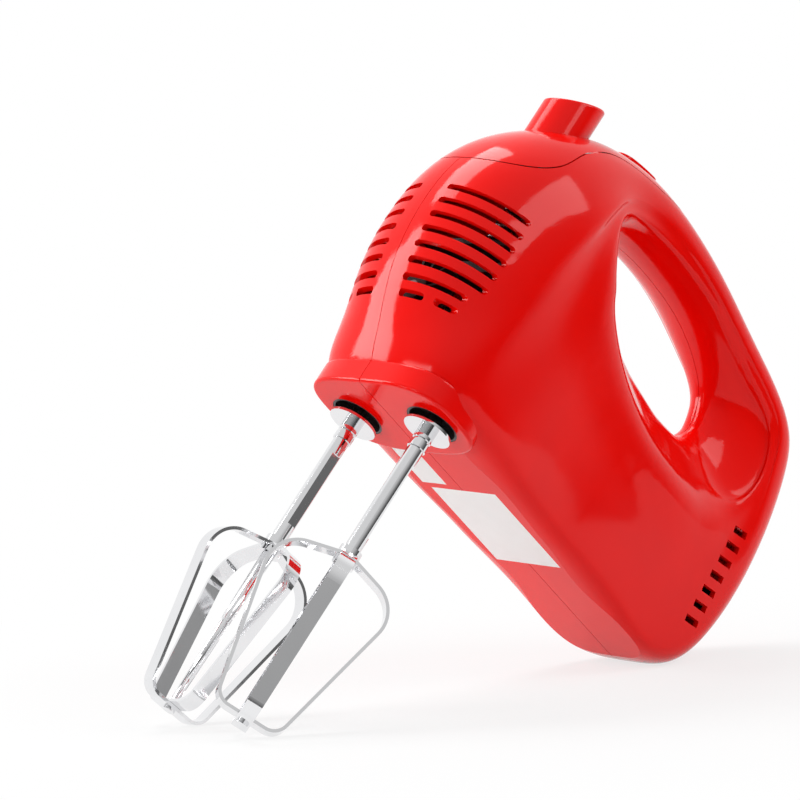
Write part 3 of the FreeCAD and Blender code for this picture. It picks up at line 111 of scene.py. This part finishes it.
class Finish:
    """A Principled material whose patterns are laid out in the mixer's own axes, in millimetres."""

    def __init__(self, name, **settings):
        self.material = bpy.data.materials.new(name)
        self.material.use_nodes = True
        self.tree = self.material.node_tree
        self.shader = self.tree.nodes["Principled BSDF"]
        for socket, value in settings.items():
            self.shader.inputs[socket.replace("_", " ")].default_value = value
        coordinates = self.node("ShaderNodeTexCoord")
        turn = self.node("ShaderNodeMapping")
        inverse = MIXER.inverted()
        turn.inputs["Scale"].default_value = (MILLIMETRES,) * 3
        turn.inputs["Rotation"].default_value = inverse.to_euler()
        turn.inputs["Location"].default_value = inverse.translation * MILLIMETRES
        self.link(coordinates.outputs["Object"], turn.inputs["Vector"])
        self.place = turn.outputs["Vector"]

    def node(self, kind, **properties):
        made = self.tree.nodes.new(kind)
        for name, value in properties.items():
            setattr(made, name, value)
        return made

    def link(self, source, target):
        self.tree.links.new(source, target)

    def stretched(self, scale):
        """The place multiplied by scale along each of the mixer's axes."""
        made = self.node("ShaderNodeMapping")
        made.inputs["Scale"].default_value = scale
        self.link(self.place, made.inputs["Vector"])
        return made.outputs["Vector"]

    def noise(self, scale, detail=2.0, place=None, distortion=0.0):
        made = self.node("ShaderNodeTexNoise")
        made.inputs["Scale"].default_value = scale
        made.inputs["Detail"].default_value = detail
        made.inputs["Distortion"].default_value = distortion
        self.link(place or self.place, made.inputs["Vector"])
        return made.outputs["Fac"]

    def bands(self, period, direction="X", distortion=0.0):
        """Bands that repeat every period millimetres."""
        made = self.node("ShaderNodeTexWave", bands_direction=direction)
        made.inputs["Scale"].default_value = 2 * math.pi / (WAVE_STEEPNESS * period)
        made.inputs["Distortion"].default_value = distortion
        self.link(self.place, made.inputs["Vector"])
        return made.outputs["Fac"]

    def specks(self, scale, threshold):
        """One inside small scattered spots, nought elsewhere."""
        made = self.node("ShaderNodeTexVoronoi")
        made.inputs["Scale"].default_value = scale
        self.link(self.place, made.inputs["Vector"])
        return self.between(made.outputs["Distance"], threshold, 0.0, 0.0, 1.0)

    def between(self, value, low, high, to_low, to_high):
        """value mapped from low..high to to_low..to_high, held at the ends."""
        made = self.node("ShaderNodeMapRange")
        for name, number in (("From Min", low), ("From Max", high), ("To Min", to_low), ("To Max", to_high)):
            made.inputs[name].default_value = number
        self.link(value, made.inputs["Value"])
        return made.outputs["Result"]

    def colour(self, share, first, second):
        """Base colour from first to second as share goes from nought to one."""
        made = self.node("ShaderNodeMix", data_type="RGBA")
        made.inputs["A"].default_value = (*first, 1)
        made.inputs["B"].default_value = (*second, 1)
        self.link(share, made.inputs["Factor"])
        self.link(made.outputs["Result"], self.shader.inputs["Base Color"])
        return self

    def haze(self, smooth, rough, scale, detail=2.0):
        """Roughness that wanders from smooth to rough in patches of about one over scale millimetres."""
        share = self.between(self.noise(scale, detail), NOISE_LOW, NOISE_HIGH, smooth, rough)
        self.link(share, self.shader.inputs["Roughness"])
        return self

    def bump(self, height, depth):
        """Relief of depth millimetres where height runs from nought to one."""
        made = self.node("ShaderNodeBump")
        made.inputs["Distance"].default_value = depth / MILLIMETRES
        self.link(height, made.inputs["Height"])
        self.link(made.outputs["Normal"], self.shader.inputs["Normal"])
        return self


# ---------------------------------------------------------------------------
# Materials, one for each slot of the record
# ---------------------------------------------------------------------------


def red_plastic():
    """Glossy moulded ABS: faint flow in the colour, fine waviness and a little haze."""
    made = Finish("red_plastic", IOR=1.3)
    flow = made.between(made.noise(0.02, 3.0, distortion=0.6), 0.35, 0.65, 0.0, 1.0)
    made.colour(flow, (0.90, 0.003, 0.001), (0.84, 0.002, 0.001))
    made.haze(0.07, 0.12, 0.05, 3.0)
    return made.bump(made.noise(0.15, 1.0), 0.004).material


def black_plastic():
    made = Finish("black_plastic", IOR=1.5)
    made.colour(made.noise(0.3, 3.0), (0.012, 0.011, 0.012), (0.03, 0.027, 0.028))
    made.haze(0.3, 0.45, 0.8, 3.0)
    return made.bump(made.noise(3.0, 2.0), 0.02).material


def brush_resin():
    made = Finish("brush_resin")
    made.colour(made.noise(0.8, 4.0), (0.20, 0.09, 0.04), (0.32, 0.16, 0.08))
    made.haze(0.4, 0.6, 1.0)
    return made.bump(made.noise(3.0), 0.03).material


def label_white():
    made = Finish("label_white")
    made.colour(made.noise(0.15, 3.0), (0.90, 0.90, 0.89), (0.85, 0.85, 0.84))
    made.haze(0.38, 0.5, 0.4, 3.0)
    return made.bump(made.noise(1.2, 3.0), 0.004).material


def chrome():
    """Bright plate over polished steel, with a faint waviness and patches of haze."""
    made = Finish("chrome", Metallic=1.0)
    made.colour(made.noise(0.08, 3.0), (0.86, 0.86, 0.87), (0.78, 0.785, 0.80))
    made.haze(0.05, 0.10, 0.25, 2.0)
    return made.bump(made.noise(0.12, 1.0), 0.001).material


def steel():
    made = Finish("steel", Metallic=1.0)
    made.colour(made.noise(0.2, 4.0), (0.42, 0.42, 0.43), (0.60, 0.60, 0.61))
    made.haze(0.22, 0.40, 1.0, 4.0)
    return made.bump(made.noise(1.0, 2.0, place=made.stretched((6.0, 0.4, 0.4))), 0.01).material


SHEET_THICKNESS = 0.5
WIRE_THICKNESS = 0.45


def lamination():
    """Stacked sheets across the motor shaft."""
    made = Finish("lamination", Metallic=1.0)
    sheets = made.bands(SHEET_THICKNESS)
    made.colour(sheets, (0.13, 0.13, 0.15), (0.34, 0.34, 0.36))
    made.haze(0.35, 0.55, 0.8, 3.0)
    return made.bump(sheets, 0.05).material


def copper():
    """Enamelled wire laid side by side."""
    made = Finish("copper", Metallic=1.0, Coat_Weight=0.5, Coat_Roughness=0.15)
    wires = made.bands(WIRE_THICKNESS, "DIAGONAL", 0.4)
    made.colour(wires, (0.36, 0.13, 0.05), (0.80, 0.38, 0.18))
    made.haze(0.22, 0.35, 0.6, 3.0)
    return made.bump(wires, 0.12).material


def bearing_bronze():
    made = Finish("bearing_bronze", Metallic=1.0)
    made.colour(made.noise(1.5, 4.0), (0.44, 0.29, 0.13), (0.66, 0.48, 0.26))
    made.haze(0.35, 0.5, 2.0, 3.0)
    return made.bump(made.specks(2.5, 0.2), -0.05).material


def nylon():
    made = Finish("nylon", Subsurface_Weight=0.2, Subsurface_Scale=0.002)
    made.colour(made.noise(0.2, 3.0), (0.74, 0.71, 0.62), (0.82, 0.80, 0.72))
    made.haze(0.35, 0.5, 0.6, 2.0)
    return made.bump(made.noise(1.5, 2.0), 0.01).material


def carbon():
    made = Finish("carbon")
    made.colour(made.noise(4.0, 3.0), (0.012, 0.012, 0.013), (0.05, 0.05, 0.052))
    made.haze(0.4, 0.6, 2.0)
    return made.bump(made.noise(5.0, 2.0), 0.03).material


def spring_steel():
    made = Finish("spring_steel", Metallic=1.0)
    made.colour(made.noise(0.5, 3.0), (0.34, 0.34, 0.36), (0.50, 0.50, 0.52))
    made.haze(0.2, 0.35, 1.5, 3.0)
    return made.bump(made.noise(2.0), 0.01).material


FINISHES = {made.__name__: made for made in (red_plastic, black_plastic, brush_resin, label_white, chrome,
                                             steel, lamination, copper, bearing_bronze, nylon, carbon,
                                             spring_steel)}


def finish_cad_nodes():
    """Every CAD node takes the finish of the record's slot that it was packed with."""
    made = {}
    for obj in frame["nodes"].values():
        for place in obj.material_slots:
            name = place.material.name.split(".")[0]
            if name not in made:
                made[name] = FINISHES[name]()
            place.material = made[name]
    return made


materials = finish_cad_nodes()


def add_object(name, mesh, material):
    """A new object of the scene with one material."""
    mesh.materials.append(material)
    made = bpy.data.objects.new(name, mesh)
    bpy.context.scene.collection.objects.link(made)
    return made


# ---------------------------------------------------------------------------
# Centre posts of the beaters
# ---------------------------------------------------------------------------

POST_NECK, POST_FOOT = 0.0022, 0.0013  # radii below the hub and above the tip rivet, in metres
POST_INSET = 0.0005  # how far each end runs into the hub and the rivet's head
POST_SIDES = 40


def levels(node):
    """Lowest and highest point of a CAD node along the mixer's +Z, in metres."""
    obj = frame["nodes"][node]
    to_mixer = MIXER.inverted() @ obj.matrix_world
    heights = [(to_mixer @ vertex.co).z for vertex in obj.data.vertices]
    return min(heights), max(heights)


def centre_post(side):
    """Tapered post from a beater's hub down between the wings to the rivet at its tip."""
    foot = levels(f"beater_{side}_rivet")[1] - POST_INSET
    neck = levels(f"beater_{side}_shaft")[0] + POST_INSET
    middle = MIXER.inverted() @ Vector(JOINTS[f"{side}_spindle_spin"]["pos_m"])
    post = bmesh.new()
    rings = []
    for radius, height in ((POST_FOOT, foot), (POST_NECK, neck)):
        ring = []
        for k in range(POST_SIDES):
            angle = 2 * math.pi * k / POST_SIDES
            aside = Vector((radius * math.cos(angle), radius * math.sin(angle), 0))
            ring.append(post.verts.new(MIXER @ (Vector((middle.x, middle.y, height)) + aside)))
        rings.append(ring)
    low, high = rings
    for k in range(POST_SIDES):
        after = (k + 1) % POST_SIDES
        post.faces.new((low[k], low[after], high[after], high[k])).smooth = True
    post.faces.new(low[::-1])
    post.faces.new(high)
    name = f"beater_{side}_centre_post"
    mesh = bpy.data.meshes.new(name)
    post.to_mesh(mesh)
    post.free()
    piece = add_object(name, mesh, materials["chrome"])
    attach(piece, f"{side}_beater")


for side in ("left", "right"):
    centre_post(side)

# ---------------------------------------------------------------------------
# Floor, world and lamps
# ---------------------------------------------------------------------------

FLOOR_RADIUS = 0.32
FLOOR_SIDES = 96
FLOOR_GREY = 0.80
GLOW_NEAR, GLOW_FAR = 0.75, 1.0  # share of plain white in the floor, under the mixer and at its edge
FADE_FROM, FADE_TO = 0.08, 0.28  # the radii between which that share grows
MIDDLE = (cad_low + cad_high) / 2


def any_ray(tree, *names):
    """One for rays of any of the named Light Path kinds, nought for the rest."""
    path = tree.nodes.new("ShaderNodeLightPath")
    total = path.outputs[names[0]]
    for name in names[1:]:
        larger = tree.nodes.new("ShaderNodeMath")
        larger.operation = "MAXIMUM"
        tree.links.new(total, larger.inputs[0])
        tree.links.new(path.outputs[name], larger.inputs[1])
        total = larger.outputs[0]
    return total


def ramp(tree, value, low, high, to_low, to_high):
    """value mapped smoothly from low..high to to_low..to_high, held at the ends."""
    made = tree.nodes.new("ShaderNodeMapRange")
    made.interpolation_type = "SMOOTHSTEP"
    for name, number in (("From Min", low), ("From Max", high)):
        made.inputs[name].default_value = number
    for name, level in (("To Min", to_low), ("To Max", to_high)):
        if isinstance(level, float):
            made.inputs[name].default_value = level
        else:
            tree.links.new(level, made.inputs[name])
    tree.links.new(value, made.inputs["Value"])
    return made.outputs["Result"]


def floor_finish():
    """Matt pale grey that takes the shadow, mixed with plain white for the rays that see the background."""
    material = bpy.data.materials.new("floor")
    material.use_nodes = True
    tree = material.node_tree
    shader = tree.nodes["Principled BSDF"]
    shader.inputs["Base Color"].default_value = (FLOOR_GREY, FLOOR_GREY, FLOOR_GREY, 1)
    shader.inputs["Roughness"].default_value = 0.9
    shader.inputs["Specular IOR Level"].default_value = 0.0
    glow = tree.nodes.new("ShaderNodeEmission")
    coordinates = tree.nodes.new("ShaderNodeTexCoord")
    far = tree.nodes.new("ShaderNodeVectorMath")
    far.operation = "LENGTH"
    tree.links.new(coordinates.outputs["Object"], far.inputs[0])
    fade = ramp(tree, far.outputs["Value"], FADE_FROM, FADE_TO, GLOW_NEAR, GLOW_FAR)
    share = tree.nodes.new("ShaderNodeMath")
    share.operation = "MULTIPLY"
    tree.links.new(any_ray(tree, "Is Camera Ray", "Is Glossy Ray", "Is Transmission Ray"), share.inputs[0])
    tree.links.new(fade, share.inputs[1])
    mix = tree.nodes.new("ShaderNodeMixShader")
    tree.links.new(share.outputs[0], mix.inputs["Fac"])
    tree.links.new(shader.outputs["BSDF"], mix.inputs[1])
    tree.links.new(glow.outputs["Emission"], mix.inputs[2])
    tree.links.new(mix.outputs["Shader"], tree.nodes["Material Output"].inputs["Surface"])
    return material


def make_floor():
    """A pale disc that turns into the white background away from the mixer and keeps its shadow."""
    mesh = bpy.data.meshes.new("floor")
    disc = bmesh.new()
    bmesh.ops.create_circle(disc, cap_ends=True, segments=FLOOR_SIDES, radius=FLOOR_RADIUS)
    disc.to_mesh(mesh)
    disc.free()
    add_object("floor", mesh, floor_finish())


AMBIENT = 0.42  # what the surroundings give to matt surfaces
ROOM_LOW, ROOM_HIGH = 0.06, 0.75  # how bright the room before the mixer mirrors, at the floor and overhead
ROOM_FROM, ROOM_TO = -0.2, 0.8  # heights of the direction between which it grows so
BACKDROP_FROM, BACKDROP_TO = -0.1, 0.4  # how far a direction points backwards where the white sets in


def make_world():
    """White to look at, an even fill for matt surfaces, and for mirrors a grey room with white behind."""
    world = bpy.data.worlds.new("studio")
    bpy.context.scene.world = world
    world.use_nodes = True
    tree = world.node_tree
    background = tree.nodes["Background"]
    direction = tree.nodes.new("ShaderNodeTexCoord").outputs["Generated"]
    facing = tree.nodes.new("ShaderNodeVectorMath")
    facing.operation = "DOT_PRODUCT"
    facing.inputs[1].default_value = -Vector((camera_back.x, camera_back.y, 0)).normalized()
    tree.links.new(direction, facing.inputs[0])
    height = tree.nodes.new("ShaderNodeSeparateXYZ")
    tree.links.new(direction, height.inputs[0])
    room = ramp(tree, height.outputs["Z"], ROOM_FROM, ROOM_TO, ROOM_LOW, ROOM_HIGH)
    mirrored = ramp(tree, facing.outputs["Value"], BACKDROP_FROM, BACKDROP_TO, room, 1.0)
    level = AMBIENT
    for kinds, seen in ((("Is Glossy Ray",), mirrored), (("Is Camera Ray", "Is Transmission Ray"), 1.0)):
        choice = tree.nodes.new("ShaderNodeMix")
        for name, part in (("A", level), ("B", seen)):
            if isinstance(part, float):
                choice.inputs[name].default_value = part
            else:
                tree.links.new(part, choice.inputs[name])
        tree.links.new(any_ray(tree, *kinds), choice.inputs["Factor"])
        level = choice.outputs["Result"]
    tree.links.new(level, background.inputs["Strength"])
    background.inputs["Color"].default_value = (1, 1, 1, 1)


def make_lamp(name, right, up, back, width, height, power):
    """A softbox placed from the mixer's middle along the camera's right, straight up and back axes."""
    data = bpy.data.lights.new(name, "AREA")
    data.shape = "RECTANGLE"
    data.size = width
    data.size_y = height
    data.energy = power
    lamp = bpy.data.objects.new(name, data)
    bpy.context.scene.collection.objects.link(lamp)
    level_back = Vector((camera_back.x, camera_back.y, 0)).normalized()
    offset = camera_right * right + Vector((0, 0, up)) + level_back * back
    lamp.location = MIDDLE + offset
    lamp.rotation_mode = "QUATERNION"
    lamp.rotation_quaternion = (-offset).to_track_quat("-Z", "Y")


# Each softbox's name; metres to the camera's right, up, and back to the camera; width, height and watts.
LAMPS = (
    ("key", -1.0, 0.5, -0.15, 0.3, 0.8, 6.0),
    ("top", -0.25, 1.0, -0.4, 0.7, 0.45, 6.0),
    ("side", 1.0, 0.75, 0.3, 0.9, 0.6, 6.0),
    ("low", -0.8, 0.12, 0.5, 0.6, 0.2, 2.4),
)

make_floor()
make_world()
for lamp in LAMPS:
    make_lamp(*lamp)

bpy.context.scene.view_settings.view_transform = "Standard"
